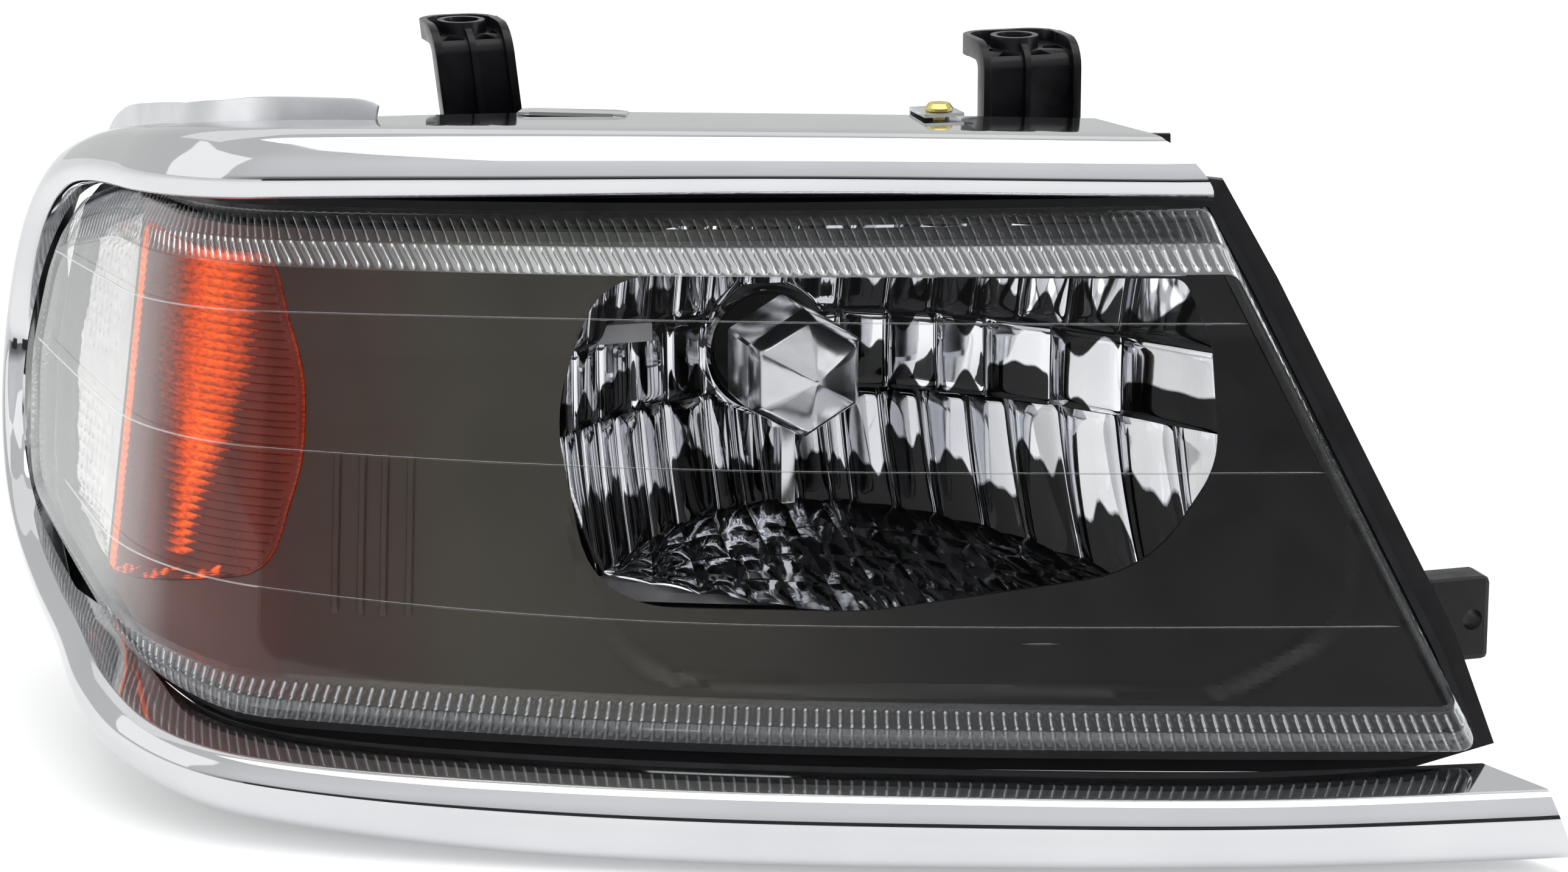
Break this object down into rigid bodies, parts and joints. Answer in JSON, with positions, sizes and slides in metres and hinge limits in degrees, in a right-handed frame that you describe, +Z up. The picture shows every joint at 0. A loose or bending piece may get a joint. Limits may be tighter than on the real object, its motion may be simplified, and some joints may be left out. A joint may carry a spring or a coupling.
{
  "type": "car headlight assembly",
  "caption": "Wrap-round car headlight: chrome bezel, clear fluted lens, amber signal section, faceted main reflector that tilts by a screw, twist-in bulbs and bracket mounts.",
  "frame": {"origin": "on the ring boss on top of the inner upper bracket, inboard side of its hole, where the bracket meets the body panel", "axes": "+X towards the vehicle's centreline, +Y rearwards, +Z up; the lamp belongs to the vehicle's right-hand front corner"},
  "size_m": [0.4132, 0.3434, 0.2273],
  "materials": {
    "black_plastic": "moulded black thermoplastic, fine satin grain",
    "clear_lens": "clear hard-coated polycarbonate",
    "butyl": "black butyl sealing cord",
    "chrome": "bright chrome plating",
    "satin_grey": "satin dark grey metallic paint",
    "amber": "transparent amber plastic, saw-tooth ribs inside",
    "silver": "vacuum-aluminised plastic under clear lacquer",
    "bulb_glass": "clear fused glass",
    "rubber": "matt black moulded rubber",
    "steel": "zinc-plated steel",
    "yellow_zinc": "yellow-passivated zinc plating on steel",
    "nylon": "natural white nylon",
    "grey_plastic": "grey glass-filled plastic"
  },
  "bodies": {
    "housing": {"housing": "black_plastic", "lens": "clear_lens", "lens_seal": "butyl", "chrome_bezel": "chrome", "bezel_mask": "satin_grey", "amber_lens": "amber", "signal_reflector": "silver", "marker_reflector": "silver", "bracket_outer": "black_plastic", "bracket_inner": "black_plastic", "side_mount": "black_plastic", "trim_screw": "yellow_zinc", "trim_nut_clip": "steel", "bracket_screw_outer": "steel", "bracket_screw_inner": "steel", "vent_tube": "rubber", "pivot_stud_outer": "steel", "pivot_stud_inner": "steel", "bulb_boot": "rubber"},
    "reflector": {"reflector": "silver", "bulb_shield": "silver", "headlight_bulb": "bulb_glass", "bulb_base": "black_plastic", "bulb_filaments": "steel", "bulb_seal": "rubber"},
    "bulb_ring": {"bulb_ring": "grey_plastic"},
    "adjuster": {"adjuster_screw": "steel", "adjuster_gear": "nylon"},
    "adjuster_nut": {"adjuster_nut": "nylon"},
    "signal_socket": {"signal_socket": "grey_plastic", "signal_gasket": "rubber", "signal_bulb": "bulb_glass"},
    "marker_socket": {"marker_socket": "grey_plastic", "marker_gasket": "rubber", "marker_bulb": "bulb_glass"}
  },
  "joints": [
    {"name": "adjuster_turn", "type": "hinge", "parent": "housing", "child": "adjuster", "pos_m": [-0.1268, 0.0745, -0.07], "axis": [0, 1, 0], "range_deg": [-950, 950]},
    {"name": "nut_slide", "type": "slide", "parent": "housing", "child": "adjuster_nut", "axis": [0, 1, 0], "range_m": [-0.0027, 0.0027]},
    {"name": "reflector_pitch", "type": "hinge", "parent": "housing", "child": "reflector", "pos_m": [-0.0828, -0.0035, -0.146], "axis": [1, 0, 0], "range_deg": [-2, 2]},
    {"name": "bulb_ring_twist", "type": "hinge", "parent": "reflector", "child": "bulb_ring", "pos_m": [-0.0758, 0.0305, -0.0965], "axis": [0, 1, 0], "range_deg": [0, 20]},
    {"name": "signal_socket_twist", "type": "hinge", "parent": "housing", "child": "signal_socket", "pos_m": [-0.2058, 0.0745, -0.11], "axis": [0, 1, 0], "range_deg": [0, 45]},
    {"name": "marker_socket_twist", "type": "hinge", "parent": "housing", "child": "marker_socket", "pos_m": [-0.2228, 0.1245, -0.114], "axis": [1, 0, 0], "range_deg": [0, 45]}
  ],
  "couplings": [
    {"joint": "nut_slide", "follows": "adjuster_turn", "m_per_rad": -0.00015915},
    {"joint": "reflector_pitch", "follows": "adjuster_turn", "ratio": 0.0020941}
  ]
}
